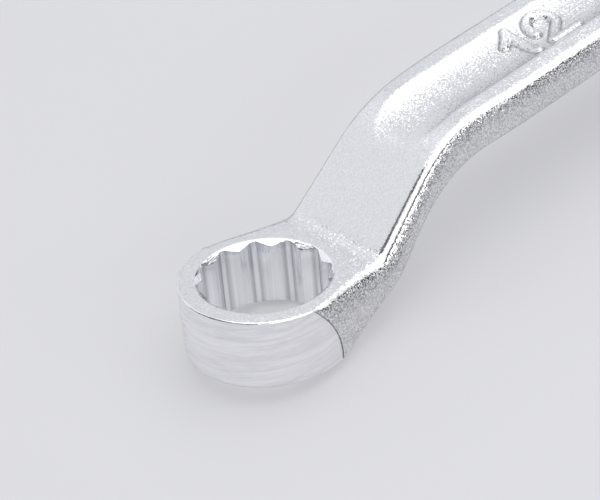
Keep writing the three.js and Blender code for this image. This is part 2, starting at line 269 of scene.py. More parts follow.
def opening_radius(azimuth, width, relief, softness):
    """Distance from the axis to the wall of the twelve-point opening. Within each point it is the larger of
    the distances to the flats of two hexagons, and at most the distance to the corner's relief flat."""
    turn = turn_from_corner(azimuth)
    flats = soft_larger(width / 2 / np.cos(POINT - turn), width / 2 / np.cos(turn), softness)
    corner = (width / np.sqrt(3) - relief / 2 / np.tan(np.pi / 3)) / np.cos(turn)
    return -soft_larger(-flats, -corner, softness)


# Places of the columns within half a point of the opening, from an outer corner to an inner one, and how much
# painted shade lies there, a darker, bluer metal beside the corner's relief
POINT_SHARES = np.array([0, 0.11, 0.145, 0.2, 0.48, 0.9, 0.975, 1])
POINT_SHADES = np.array([0, 0.08, 0.25, 0.42, 0, 0, 0, 0])


def column_azimuths():
    """Azimuths of a head's columns, the same in each point of the opening and mirrored about its corners."""
    half = POINT_SHARES * POINT / 2
    point = np.concatenate([-half[:0:-1], half[:-1]])
    turns = (np.arange(12)[:, None] * POINT + point).ravel()
    return np.sort((turns + np.pi) % (2 * np.pi) - np.pi)


def edge_rows(steps, inset, drop, low_inset, low_drop, thickness):
    """Rows down a side, as how far each lies in from the side and below the top: a quarter of an ellipse
    round the top edge, a straight side, and a quarter of an ellipse round the bottom edge."""
    quarter = np.linspace(0, np.pi / 2, steps.corner + 1)
    side = np.linspace(0, 1, steps.side + 1)[1:-1]
    inward = [inset * (1 - np.sin(quarter)), np.zeros(side.shape), low_inset * (1 - np.cos(quarter))]
    depth = [
        drop * (1 - np.cos(quarter)),
        drop + (thickness - low_drop - drop) * side,
        thickness - low_drop * (1 - np.sin(quarter)),
    ]
    return np.concatenate(inward), np.concatenate(depth)


def half_width(p, end, x):
    """Half the shank's width at a distance from the ring's axis: round the ring, along the flare that leaves
    it at a tangent, then by cubics in to the waist and out to the handle, which is straight from there."""
    flare = end["radius"] + p.flare_proud
    crease = end["crease"]
    waist = end["radius"] + p.waist_distance
    shoulder = end["radius"] + p.shoulder_distance
    crease_half = flare / np.cos(p.flare_taper) - crease * np.tan(p.flare_taper)
    slope = (end["middle_half"] - end["shoulder"]) / (end["middle_x"] - shoulder)
    return np.select(
        [x < flare * np.sin(p.flare_taper), x < crease, x < waist, x < shoulder],
        [
            np.sqrt(np.maximum(flare ** 2 - x ** 2, 0)),
            crease_half + (crease - x) * np.tan(p.flare_taper),
            ease(x, crease, crease_half, -np.tan(p.neck_taper), waist, end["waist"], 0),
            ease(x, waist, end["waist"], 0, shoulder, end["shoulder"], slope),
        ],
        end["shoulder"] + slope * (x - shoulder),
    )


def band_end(p, depth_share):
    """Where the ground band ends, from the ring's axis: a line from the face to the flare's lower edge that
    bows out by a parabola."""
    bow = 4 * p.band_bow * depth_share * (1 - depth_share)
    return -p.band_top + (p.band_top + p.band_bottom) * depth_share + bow


def closest(points, path):
    """Least distance from each point to a path of straight pieces."""
    start, step = path[:-1], np.diff(path, axis=0)
    offset = points[..., None, :] - start
    along = np.clip((offset * step).sum(-1) / (step ** 2).sum(-1), 0, 1)
    return np.linalg.norm(offset - along[..., None] * step, axis=-1).min(-1)


def arc(centre, radius, start, end, steps=24):
    """Points of a circular arc between two angles in degrees."""
    turn = np.radians(np.linspace(start, end, steps + 1))
    return np.array(centre) + radius * np.stack([np.cos(turn), np.sin(turn)], -1)


def digit_strokes(digit):
    """Middle lines of a plain digit's strokes. A digit is one unit high, with its base at zero."""
    if digit == "1":
        return [np.array([[0.28, 0], [0.28, 1]]), np.array([[0.28, 0.97], [-0.02, 0.68]])]
    if digit == "2":
        bowl = arc((0.33, 0.68), 0.31, 180, -35)
        return [
            np.concatenate([[[0.0, 0.47]], bowl, [[0.06, 0.03]]]),
            np.array([[0.05, 0], [0.72, 0]]),
        ]
    upper = arc((0.3, 0.74), 0.26, 165, -75)
    lower = arc((0.3, 0.27), 0.28, 75, -165)
    return [upper, lower]


DIGIT_ADVANCE = 0.68  # from one digit's left edge to the next, in digit heights
NUMBER_MIDDLE = 0.64  # left edge of a number to its middle, in digit heights


def mark_gap(marks, end, x, y):
    """Distance from places along and across the handle to the nearest middle line of the number's strokes."""
    upright = np.stack([x - marks.slant * y - marks.distance, y - marks.lift], -1) / marks.digit_height
    upright += [NUMBER_MIDDLE, 0.5]
    gaps = [
        closest(upright, path + [place * DIGIT_ADVANCE, 0])
        for place, digit in enumerate(end["digits"]) for path in digit_strokes(digit)
    ]
    return np.min(gaps, axis=0) * marks.digit_height


def mark_height(marks, gap):
    """Height of the raised number above the flute: full over a stroke, and a smooth step down beside it."""
    return marks.relief * (1 - smooth(gap, marks.stroke / 2, marks.stroke / 2 + marks.wall))


def mark_painted_shade(marks, gap):
    """How much painted shade lies in the corner round each stroke's foot, which is softened there: full over
    the middle of its width, and a smooth step down to each side."""
    foot = marks.stroke / 2 + 1.1 * marks.wall  # a little past the slope, where the eye sees its foot
    return marks.painted_shade * (1 - smooth(np.abs(gap - foot), 0.3 * marks.painted_shade_width, marks.painted_shade_width))


LEAST_FLUTE_HALF = 0.1 * MM  # stands in for the flute's half width where there is no flute yet


def flute_share(p, end, x):
    """How far the flute has started at a distance from the ring's axis, from 0 to 1."""
    return np.clip((x - end["radius"] - p.flute_start) / p.flute_run_out, 0, 1)


def flute_half(p, end, x):
    """Half the flute's width: a quarter of an ellipse over the run-out, and constant after it."""
    return p.flute_width / 2 * np.sqrt(1 - (1 - flute_share(p, end, x)) ** 2)


def flute_depth(p, end, x, y):
    """Depth of the flute: one less a power of the way from its middle to its border, which is softened, and a
    smooth start along it."""
    across = 1 - np.abs(y / np.maximum(flute_half(p, end, x), LEAST_FLUTE_HALF)) ** p.flute_power
    lip = p.flute_lip
    depth = soft_larger(across, 0 * across, lip) - lip ** 2 / 4 / np.maximum(np.abs(across), lip)
    return p.flute_depth * smooth(flute_share(p, end, x), 0, 1) * np.maximum(depth, 0)


FLUTE_COLUMNS = 0.8  # share of the columns over the handle's top that lie in the flute


def spread(p, end, x, half, ring_places):
    """Places of the columns across a section: as on the ring near it, and further on evenly spaced in the
    flute and on the rims beside it."""
    order = np.linspace(-1, 1, ring_places.size)
    border = p.flute_width / 2 / half
    even = np.interp(order, [-1, -FLUTE_COLUMNS, FLUTE_COLUMNS, 1], [-1, -border, border, 1])
    turned = smooth(x, end["crease"], end["radius"] + p.flute_start + p.flute_run_out / 2)
    return half * ((1 - turned) * ring_places + turned * even)


CORNER_SOFTNESS = 2 * MM  # how much the rows between a ring and its crease round off the flare's far corners
WIDEST_TURN = 0.45 * np.pi  # past it, the far line doesn't bound the rows


def fan(rim, edge, places, t):
    """Surface between a ring's rim, the flare's two long edges and the line that joins their far ends, in
    polar coordinates about the ring's axis. Each row runs from one long edge to the other. Its azimuths are
    the long edge's, times the columns' places, eased to even steps along the far line. A point's way out from
    the rim, to the soft smaller of the far line and the long edge, is the row's share of all rows to the
    power of one less the sixth power of its column's place, so that no rows cross at the rim's ends."""
    azimuth, radius = np.arctan2(edge[:, 1], edge[:, 0]), np.hypot(edge[:, 0], edge[:, 1])
    even = np.arctan2(places * edge[-1, 1], edge[-1, 0]) / azimuth[-1]
    along = t[:, None]
    around = azimuth[:, None] * ((1 - along) * places + along * even)
    turn = np.abs(around)
    far = edge[-1, 0] / np.cos(np.minimum(turn, WIDEST_TURN))
    slope = (radius[-1] - radius[-3]) / (azimuth[-3] - azimuth[-1])
    side = np.interp(turn, azimuth[::-1], radius[::-1])
    side = np.where(turn < azimuth[-1], radius[-1] + (azimuth[-1] - turn) * slope, side)
    outer = -soft_larger(-far, -side, CORNER_SOFTNESS * (1 - along))
    inner = np.interp(around, np.arctan2(rim[:, 1], rim[:, 0]), np.hypot(rim[:, 0], rim[:, 1]))
    reach = inner + (outer - inner) * np.linspace(0, 1, t.size)[:, None] ** (1 - places ** 6)
    return np.stack([reach * np.cos(around), reach * np.sin(around)], -1)


class Head:
    """One ring with its opening, as rows of points round its axis. A window between two rows and two columns
    is left open, and the shank is joined to its border."""

    def __init__(self, p, steps, marks, end):
        self.p, self.steps, self.marks, self.end = p, steps, marks, end
        self.line = self.underside_line()
        self.azimuth = column_azimuths()
        self.flare_depth = end["height"] - p.flare_lift
        top_azimuth = np.arccos(-p.band_top / end["radius"])
        self.column = int(np.abs(self.azimuth - top_azimuth).argmin())
        self.border = self.azimuth[self.column]
        self.mirror = int(np.abs(self.azimuth + self.border).argmin())
        self.rows, self.kinds = [], []
        self.make_opening()
        self.make_band()
        self.make_bottom()
        self.points = np.stack(self.rows)

    def turned(self, border):
        """Azimuths of the columns once the window's border column is moved to another azimuth."""
        size = np.interp(np.abs(self.azimuth), [0, self.border, np.pi], [0, border, np.pi])
        return np.sign(self.azimuth) * size

    def add(self, radius, z, border, kind):
        """Adds a row of points at a radius and a height, one for each column."""
        around = self.turned(border)
        radius = radius + 0 * around
        self.rows.append(np.stack([radius * np.cos(around), radius * np.sin(around), z + 0 * around], -1))
        self.kinds.append(kind)

    def spots(self, *places):
        """Places of the profile, each a radius and a height, for every column."""
        return [np.stack(np.broadcast_arrays(*place, self.azimuth)[:2], -1) for place in places]

    def add_corner(self, before, corner, after, cut, border, kind):
        """Adds rows round a corner of the profile: a parabola that leaves each side at a distance cut."""
        before, corner, after = self.spots(before, corner, after)
        first, last = (
            corner + cut * (side - corner) / np.linalg.norm(side - corner, axis=-1, keepdims=True)
            for side in (before, after))
        for t in np.linspace(0, 1, self.steps.small_corner + 1):
            q = (1 - t) ** 2 * first + 2 * t * (1 - t) * corner + t * t * last
            self.add(q[:, 0], q[:, 1], border, kind)

    def add_side(self, start, stop, steps, kind, start_border=None, stop_border=None):
        """Adds rows between two rows of the profile, without either of them."""
        first, last = self.spots(start, stop)
        start_border, stop_border = (self.border if b is None else b for b in (start_border, stop_border))
        for t in np.linspace(0, 1, steps + 1)[1:-1]:
            q = (1 - t) * first + t * last
            self.add(q[:, 0], q[:, 1], (1 - t) * start_border + t * stop_border, kind)

    def make_opening(self):
        """Rows from the bottom chamfer up the broached wall, out over the top chamfer and over the face."""
        p, end, steps = self.p, self.end, self.steps
        entry, cut = end["entry"], p.entry_edge
        bore = opening_radius(self.azimuth, end["opening"], p.relief_width, p.broach_round)
        rise = (entry - bore) * p.chamfer_rise
        self.low_corner, high = (bore, rise - end["height"]), (bore, -rise)
        self.add_corner((entry, -end["height"]), self.low_corner, high, cut, self.border, "broached")
        self.add_side((bore, self.low_corner[1] + cut), (bore, high[1] - cut), steps.wall, "broached")
        self.add_corner(self.low_corner, high, (entry, 0), cut, self.border, "chamfer")
        self.add_corner(high, (entry, 0), (end["radius"], 0), cut, self.border, "satin")
        rim = end["radius"] - p.top_break
        top_border = np.arccos(band_end(p, 0) / rim)
        rim = rim - p.rim_cut * smooth(top_border - np.abs(self.turned(top_border)), 0, p.rim_ramp)
        self.add_side((entry + cut, 0), (rim, 0), steps.face, "satin", stop_border=top_border)
        self.add(rim, 0, top_border, "band")
        self.window_top = len(self.rows) - 1

    def make_band(self):
        """Rows down the ground outside, as far as the flare's underside reaches."""
        p, end = self.p, self.end
        inward, depth = edge_rows(self.steps, p.top_break, p.top_break, 0, p.bottom_break, self.flare_depth)
        for below, inset in zip(depth[1:-1], inward[1:-1]):
            radius = end["radius"] - inset
            self.add(radius, -below, np.arccos(band_end(p, below / self.flare_depth) / radius), "band")
        self.low_border = np.arccos(band_end(p, 1) / end["radius"])
        x = end["radius"] * np.cos(self.turned(self.low_border))
        self.under_z = self.underside(np.maximum(x, p.band_bottom))
        self.add(end["radius"], self.under_z, self.low_border, "band")
        self.window_bottom = len(self.rows) - 1

    def underside(self, x):
        """Height of the flare's and the neck's underside, by straight pieces along it."""
        return np.interp(x, self.line[:, 0], self.line[:, 1])

    def underside_line(self):
        """Side view of the underside: the flare's straight start, the heel, the neck, the shoulder, the
        handle. It begins as far before the flare's start as the heel's corner lies behind it, and ends past
        the middle."""
        p, end, steps = self.p, self.end, self.steps
        start = np.array([p.band_bottom, p.flare_lift - end["height"]])
        under_neck = (end["crease"] + p.neck_thickness / np.sin(p.neck_angle), 0)
        below = on_handle(p, end, 0, p.handle_thickness)
        heel = meet(start, p.flare_underside, under_neck, p.neck_underside)
        bend = meet(under_neck, p.neck_underside, below, p.ring_tilt)
        return np.concatenate([
            [2 * start - heel],
            round_corner(heel, p.flare_underside, p.neck_underside, p.heel_radius, 3 * steps.crease),
            round_corner(bend, p.neck_underside, p.ring_tilt, p.under_shoulder_radius, 2 * steps.shoulder),
            [on_handle(p, end, 1.1 * end["face_x"], p.handle_thickness)],
        ])

    def make_bottom(self):
        """Rows from the flare's underside down the rest of the ground outside, over the bottom edge and face,
        and in over the bottom chamfer."""
        p, end = self.p, self.end
        radius, low = end["radius"], -end["height"]
        border, cut, steps = self.low_border, p.entry_edge, self.steps.face
        outer, inner = (radius, low), (end["entry"], low)
        self.add_side((radius, self.under_z), (radius, low + p.bottom_break), steps, "band", border, border)
        self.add_corner((radius, 0), outer, inner, p.bottom_break, border, "band")
        self.add_side((radius - p.bottom_break, low), (end["entry"] + cut, low), steps, "satin", border)
        self.add_corner(outer, inner, self.low_corner, cut, self.border, "chamfer")

    def corner_shade(self):
        """How much painted shade lies beside the corners, on the rows of the broached wall."""
        wall = np.array(self.kinds) == "broached"
        wall |= np.roll(wall, 1)
        shade = np.interp(turn_from_corner(self.azimuth) * 2 / POINT, POINT_SHARES, POINT_SHADES)
        return (wall[:, None] * shade).ravel()

    def faces(self):
        """Four-sided faces between neighbouring rows and columns, without the window, and their finishes."""
        rows, columns = self.points.shape[:2]
        row, column = np.meshgrid(np.arange(rows), np.arange(columns), indexing="ij")
        next_row, next_column = (row + 1) % rows, (column + 1) % columns
        quads = np.stack([
            row * columns + column, next_row * columns + column,
            next_row * columns + next_column, row * columns + next_column,
        ], -1)
        inside = (row >= self.window_top) & (row < self.window_bottom)
        inside &= (column >= self.mirror) & (column < self.column)
        kinds = np.array(self.kinds)[row]
        return quads[~inside], kinds[~inside]

    def window(self):
        """Indices of the points on the window's border: over the top, down, back below and up again."""
        columns = self.points.shape[1]
        across = np.arange(self.mirror, self.column + 1)
        down = np.arange(self.window_top, self.window_bottom + 1)
        return np.concatenate([
            self.window_top * columns + across,
            down[1:] * columns + self.column,
            self.window_bottom * columns + across[::-1][1:],
            down[::-1][1:-1] * columns + self.mirror,
        ])


def point_below(top, lean, line):
    """Point of a line of straight pieces that lies under a point of the top, in a section that leans."""
    side = (line - top) @ [np.cos(lean), np.sin(lean)]
    piece = int(np.argmax(side[1:] > 0))
    part = -side[piece] / (side[piece + 1] - side[piece])
    return line[piece] + part * (line[piece + 1] - line[piece])


def evenly(start, stop, steps, lean):
    """Evenly spaced places of sections that all lean the same, without the last one."""
    return np.linspace(start, stop, steps, endpoint=False), np.full(steps, lean)


def stations(head):
    """Where the shank's sections stand: a point of the top, and how far the section leans from the ring's
    axis. They follow the crease, the neck, the shoulder and the handle, and stand closest in the number."""
    p, end, steps, marks = head.p, head.end, head.steps, head.marks
    crease = np.array([end["crease"], 0])
    shoulder = meet(crease, p.neck_angle, on_handle(p, end, 0, 0), p.ring_tilt)
    crease_arc = round_corner(crease, 0, p.neck_angle, p.crease_radius, steps.crease)
    shoulder_arc = round_corner(shoulder, p.neck_angle, p.ring_tilt, p.shoulder_radius, steps.shoulder)
    begin, middle = shoulder_arc[-1], on_handle(p, end, end["face_x"], 0)
    mark_start, mark_stop = (
        begin + (middle - begin) * (marks.distance + reach - begin[0]) / (middle - begin)[0]
        for reach in (-marks.reach, marks.reach))
    pieces = [
        (crease_arc[:-1], np.full(steps.crease, p.neck_angle)),
        evenly(crease_arc[-1], shoulder_arc[0], steps.neck, p.neck_angle),
        (shoulder_arc[:-1], np.linspace(p.neck_angle, p.ring_tilt, steps.shoulder, endpoint=False)),
        evenly(begin, mark_start, steps.handle, p.ring_tilt),
        evenly(mark_start, mark_stop, steps.mark, p.ring_tilt),
        evenly(mark_stop, middle, steps.handle, p.ring_tilt),
        ([middle], [p.ring_tilt]),
    ]
    return [np.concatenate(part) for part in zip(*pieces)]


def closed(top, side, low):
    """Points round a section: over its top, down one side, back below and up the other side."""
    return np.concatenate([top, side[1:-1], low[::-1], (side * [1, -1, 1])[::-1][1:-1]])


# Places of the flare's sections from the ground band's end to the crease, close together at both
PAD_SHARES = np.array([
    0, 0.006, 0.014, 0.03, 0.06, 0.1, 0.16, 0.24, 0.34, 0.45, 0.56, 0.67, 0.77, 0.86, 0.93, 0.975, 1,
])
CUT_END = 0.07  # place from which the flare's rounding cuts into the face in full
GROWTH_START = 0.02  # place from which that rounding grows, ever less steeply, to its size at the crease
GROWTH_POWER = 0.7


def pad_sections(head):
    """Sections of the flare between the ground band's end and the crease, without either: fans on top and
    below, and between them sides that follow the shank's width. The side's rounding grows from a narrow lip
    beside the band. Also returns the columns' places across the ring's rim, from -1 to 1."""
    p, end, t = head.p, head.end, PAD_SHARES
    crease_start = round_corner(np.array([end["crease"], 0]), 0, p.neck_angle, p.crease_radius, 1)[0]
    start = np.array([-p.band_top, 0])
    under_start = np.array([p.band_bottom, p.flare_lift - end["height"]])
    lean = np.arctan2(under_start[0] - start[0], -under_start[1])
    tops = start + t[:, None] * (crease_start - start)
    leans = lean + t * (p.neck_angle - lean)
    lows = np.array([point_below(top, lean, head.line) for top, lean in zip(tops, leans)])
    lows[0] = under_start
    grown = smooth(t, GROWTH_START, 1) ** GROWTH_POWER
    cut = smooth(t, 0, CUT_END)
    lips = p.top_break + cut * p.flare_cut
    insets = lips + p.flare_proud - cut * p.cut_slack
    sides = []
    for k, down in enumerate(lows - tops):
        edges = (
            lip + grown[k] * (full - lip) for lip, full in (
                (insets[k], p.flare_edge), (lips[k], p.flare_edge),
                (p.low_lip, p.low_edge_radius), (p.bottom_break, p.low_edge_radius)))
        thickness = np.hypot(*down)
        inward, depth = edge_rows(head.steps, *edges, thickness)
        part = depth / thickness
        x = tops[k][0] + down[0] * part + 4 * p.band_bow * (1 - t[k]) * part * (1 - part)
        sides.append(np.stack([x, half_width(p, end, x) - inward, tops[k][1] + down[1] * part], -1))
    sides = np.stack(sides)
    across = np.arange(head.mirror, head.column + 1)
    places = head.azimuth[across] / head.border
    top, low = (
        fan(rim, np.concatenate([rim[-1:], edge[1:]]), places, t) for rim, edge in (
            (head.points[head.window_top][across, :2], sides[:, 0, :2]),
            (head.points[head.window_bottom][across, :2], sides[:, -1, :2])))
    top, low = (
        np.concatenate([q, z[:, :, None]], -1)
        for q, z in ((top, 0 * top[:, :, 0]), (low, head.underside(low[:, :, 0]))))
    return np.stack([closed(*section) for section in zip(top, sides, low)][1:-1]), places


def shank_sections(head, places):
    """Sections from the crease to the middle of the handle: a top with the flute and the number, rounded long
    edges, sides, and a bottom with its own flute. Also returns the painted shade on each of their points."""
    p, end, marks = head.p, head.end, head.marks
    sections, painted_shade = [], []
    for top, lean in zip(*stations(head)):
        down = point_below(top, lean, head.line) - top
        thickness = np.hypot(*down)
        flare = 1 - smooth(top[0], end["radius"], end["radius"] + p.waist_distance)
        edge = p.edge_radius + flare * (p.flare_edge - p.edge_radius)
        inward, depth = edge_rows(head.steps, edge, edge, p.low_edge_radius, p.low_edge_radius, thickness)
        x, z = top[:, None] + down[:, None] * depth / thickness
        side = np.stack([x, half_width(p, end, x) - inward, z], -1)
        y_top, y_low = (spread(p, end, top[0], side[row, 1], places) for row in (0, -1))
        sunk, low_sunk = (flute_depth(p, end, top[0] + 0 * y, y) for y in (y_top, y_low))
        gap = mark_gap(marks, end, top[0] + 0 * y_top, y_top)
        sunk = np.maximum(sunk - mark_height(marks, gap), 0)
        upper, lower = (
            np.stack([top[0] + down[0] * part, y, top[1] + down[1] * part], -1)
            for y, part in ((y_top, sunk / thickness), (y_low, 1 - low_sunk / thickness)))
        sections.append(closed(upper, side, lower))
        painted_shade.append(np.zeros(len(sections[-1])))
        painted_shade[-1][:gap.size] = mark_painted_shade(marks, gap)
    return np.stack(sections), np.concatenate(painted_shade)


# Tilt of the grains on the upper faces, by the distance from a ring's outside in millimetres: coarse in the
# crease, which the belt missed, and fine on the neck, where it passed last. The long edges and the sides have
# their own
GRAIN_DISTANCES = np.array([-0.9, -0.2, 0.9, 1.9, 7.0, 9.5])
GRAIN_TILTS = np.array([0.27, 0.34, 0.34, 0.06, 0.06, 0.24])
EDGE_GRAIN_TILT = 0.08
SIDE_GRAIN_TILT = 0.7
FLUTE_GRAIN_TILT = 0.16  # more than on the rims beside it, because the belt didn't reach into the flute
# Along the top of the sides the deeper dents also darken the grains on the whole: a painted dark reflection,
# fading over the first rows down the side
SIDE_DENT_AND_SHADE_DEPTH = 0.5  # share of the full depth that the dents have further down the sides and below
SIDE_GRAIN_ROWS = 4  # over which they get to that depth


def edge_shares(steps, top_columns, side_rows):
    """Two values round a section, both 0 on its top. The first grows to 1 over the first 30 degrees of the
    long edges, which the belt smoothed. The second, the depth of the dents, grows to 1 from 45 to 65 degrees
    round them, and falls to a constant over the first rows down the side. That second value also darkens the
    grains, so the band along the top of the sides is a painted dark reflection."""
    around = np.linspace(0, np.pi / 2, steps.corner + 1)[1:]
    fallen = smooth(np.arange(side_rows - around.size), 0, SIDE_GRAIN_ROWS)
    values = []
    for low, high, rest in ((0, 30, 1 + 0 * fallen), (45, 65, 1 - (1 - SIDE_DENT_AND_SHADE_DEPTH) * fallen)):
        side = np.concatenate([smooth(around, np.radians(low), np.radians(high)), rest])
        below = np.full(top_columns, rest[-1])
        values.append(np.concatenate([np.zeros(top_columns), side, below, side[::-1]]))
    return values


def half_spanner(p, steps, marks, side):
    """One half of the spanner: its points in the spanner's frame, its faces and their finishes, its last
    section and that section's order seen from the other half, and the points' values for the shaders."""
    end = describe_end(p, side)
    end["handle_top"] = describe_end(p, "small")["face_z"] + p.face_to_handle
    end["middle_half"] = (p.small_shoulder + p.large_shoulder) / 4
    end["middle_x"] = on_handle(p, end, end["face_x"], 0)[0]
    head = Head(p, steps, marks, end)
    flare, places = pad_sections(head)
    shank, shank_painted_shade = shank_sections(head, places)
    tube = np.concatenate([flare, shank])
    ring_points = head.points.reshape(-1, 3)
    points = np.concatenate([ring_points, tube.reshape(-1, 3)])
    window = head.window()
    side_rows = window.size // 2 - places.size
    own = len(ring_points) + np.arange(tube[:, :, 0].size).reshape(tube.shape[:2])
    loops = np.concatenate([window[None], own])
    nexts = np.roll(loops, -1, axis=1)
    quads = np.stack([loops[:-1], loops[1:], nexts[1:], nexts[:-1]], -1).reshape(-1, 4)
    ring_quads, kinds = head.faces()
    painted_shade = np.zeros(len(points))
    # Painted shade beside the corners of the opening
    painted_shade[:len(ring_points)] = head.corner_shade()
    painted_shade[-shank_painted_shade.size:] = shank_painted_shade
    # Painted shade on the first flare section's sides: a dark line for the shade in the step beside the
    # ground band
    painted_shade[own[0, places.size:places.size + side_rows]] = 1
    painted_shade[own[0, -side_rows:]] = 1
    # The dents' depth also darkens the grains: along the top of the sides this is a painted dark reflection
    belted, depth = (
        np.concatenate([np.zeros(len(ring_points)), np.tile(value, len(tube))])
        for value in edge_shares(steps, places.size, side_rows))
    belted[window], depth[window] = belted[own[0]], depth[own[0]]
    tilt = np.interp(points[:, 0] - end["radius"], GRAIN_DISTANCES * MM, GRAIN_TILTS)
    tilt += FLUTE_GRAIN_TILT * flute_depth(p, end, points[:, 0], points[:, 1]) / p.flute_depth
    tilt += belted * (EDGE_GRAIN_TILT - tilt)
    tilt += depth * (SIDE_GRAIN_TILT - tilt)
    matrix = end_matrix(p, end, side == "large")
    return {
        "points": points @ matrix[:3, :3].T + matrix[:3, 3],
        "faces": np.concatenate([ring_quads, quads]),
        "kinds": np.concatenate([kinds, np.full(len(quads), "satin")]),
        "last": own[-1],
        "mirrored": (places.size - 1 - np.arange(window.size)) % window.size,
        "ring_place": points,
        "step_dirt": painted_shade,
        "grain_depth": depth,
        "grain_tilt": tilt,
    }


def whole_spanner(p, steps, marks):
    """Points, faces, finishes and the points' values for the shaders: the two halves joined in the middle of
    the handle, where the second one's last section becomes the first one's, seen from the other side. Points
    that no face uses are left out."""
    small, large = (half_spanner(p, steps, marks, side) for side in ("small", "large"))
    shift = len(small["points"])
    joined = np.arange(shift + len(large["points"]))
    joined[shift + large["last"][small["mirrored"]]] = small["last"]
    faces = joined[np.concatenate([small["faces"], shift + large["faces"]])]
    used, faces = np.unique(faces, return_inverse=True)
    kinds = np.concatenate([small["kinds"], large["kinds"]])
    values = {
        key: np.concatenate([small[key], large[key]])[used]
        for key in ("points", "ring_place", "step_dirt", "grain_depth", "grain_tilt")
    }
    return values.pop("points"), faces.reshape(-1, 4), kinds, values


def add_node(tree, kind, inputs=None, **settings):
    """Adds a shader node, sets its own settings, and fills or links its inputs."""
    node = tree.nodes.new("ShaderNode" + kind)
    for key, value in settings.items():
        setattr(node, key, value)
    for key, value in (inputs or {}).items():
        if isinstance(value, bpy.types.NodeSocket):
            tree.links.new(value, node.inputs[key])
        else:
            node.inputs[key].default_value = value
    return node


def new_material(name):
    """Material with an empty node tree and an output node."""
    material = bpy.data.materials.new(name)
    material.use_nodes = True
    tree = material.node_tree
    tree.nodes.clear()
    return material, tree, add_node(tree, "OutputMaterial")


# Where most values of one noise texture lie, and of the sum of two
NOISE_RANGE = {"From Min": 0.3, "From Max": 0.7}
SUM_RANGE = {"From Min": 0.7, "From Max": 1.2}
BAND_SCALE = 0.22  # a band of lines is 4 to 5 times as broad as a line
ROUGHNESS_SPREAD = (0.8, 1.25)  # least and greatest roughness of a line, as shares of the mean


def scattered(tree, pattern, amount):
    """Surface normal, tilted by a pattern's colour: the normal plus the amount times the colour's distance
    from grey, along each axis."""
    normal = add_node(tree, "NewGeometry").outputs["Normal"]
    offset = add_node(tree, "VectorMath", {0: pattern, 1: (0.5, 0.5, 0.5)}, operation="SUBTRACT")
    tilted = add_node(tree, "VectorMath", {
        0: offset.outputs["Vector"], 1: amount, 2: normal,
    }, operation="MULTIPLY_ADD")
    unit = add_node(tree, "VectorMath", {0: tilted.outputs["Vector"]}, operation="NORMALIZE")
    return unit.outputs["Vector"]


def satin_chrome(colours):
    """Satin chrome plate over a blasted forging. Blasting leaves shallow dents that each tilt the surface a
    little, so highlights are broad and their edges break up into sparkling grains. The upper faces were
    belted smooth before that. The sides and the underside weren't, so their dents are deeper, and some shade
    themselves while others glint. Deeper dents darken the grains on the whole, which along the top of the
    sides paints a dark reflection. A dark colour mixed in by an attribute paints shade in the step beside the
    ground band and round the digits' foot."""
    material, tree, output = new_material("satin_chrome_on_blasted_steel")
    place = add_node(tree, "TexCoord").outputs["Object"]
    grain = 0.12 * MM  # a little coarser than the dents are, so that they show
    patch = 5 * MM  # width of the patches that differ in roughness
    belted, blasted = (0.69, 0.81), (0.07, 1.0)  # darkest and lightest grain, from dent to shine
    dents = add_node(tree, "TexVoronoi", {"Vector": place, "Scale": 1 / grain}, feature="F1")
    depth, tilt, step = (
        add_node(tree, "Attribute", attribute_name=name).outputs["Fac"]
        for name in ("grain_depth", "grain_tilt", "step_dirt"))
    least, most = (
        add_node(tree, "MapRange", {
            "Value": depth, "To Min": shallow, "To Max": deep,
        }).outputs["Result"]
        for shallow, deep in zip(belted, blasted))
    uneven = add_node(tree, "TexNoise", {"Vector": place, "Scale": 1 / patch, "Detail": 2.0})
    rough = add_node(tree, "MapRange", {
        "Value": uneven.outputs["Fac"], **NOISE_RANGE, "To Min": 0.17, "To Max": 0.22,
    })
    cell = add_node(tree, "SeparateColor", {"Color": dents.outputs["Color"]})
    glint = add_node(tree, "MapRange", {"Value": cell.outputs["Red"], "To Min": least, "To Max": most})
    steel = add_node(tree, "Mix", {
        "Factor": glint.outputs["Result"], 6: (*colours.dent, 1), 7: (*colours.shine, 1),
    }, data_type="RGBA")
    # Painted shade mixed into the base colour: the step beside the ground band and the digits' foot
    base = add_node(tree, "Mix", {
        "Factor": step, 6: steel.outputs[2], 7: (*colours.painted_shade, 1),
    }, data_type="RGBA")
    shader = add_node(tree, "BsdfPrincipled", {
        "Base Color": base.outputs[2], "Metallic": 1.0, "Roughness": rough.outputs["Result"],
        "Normal": scattered(tree, dents.outputs["Color"], tilt),
    })
    tree.links.new(shader.outputs["BSDF"], output.inputs["Surface"])
    return material


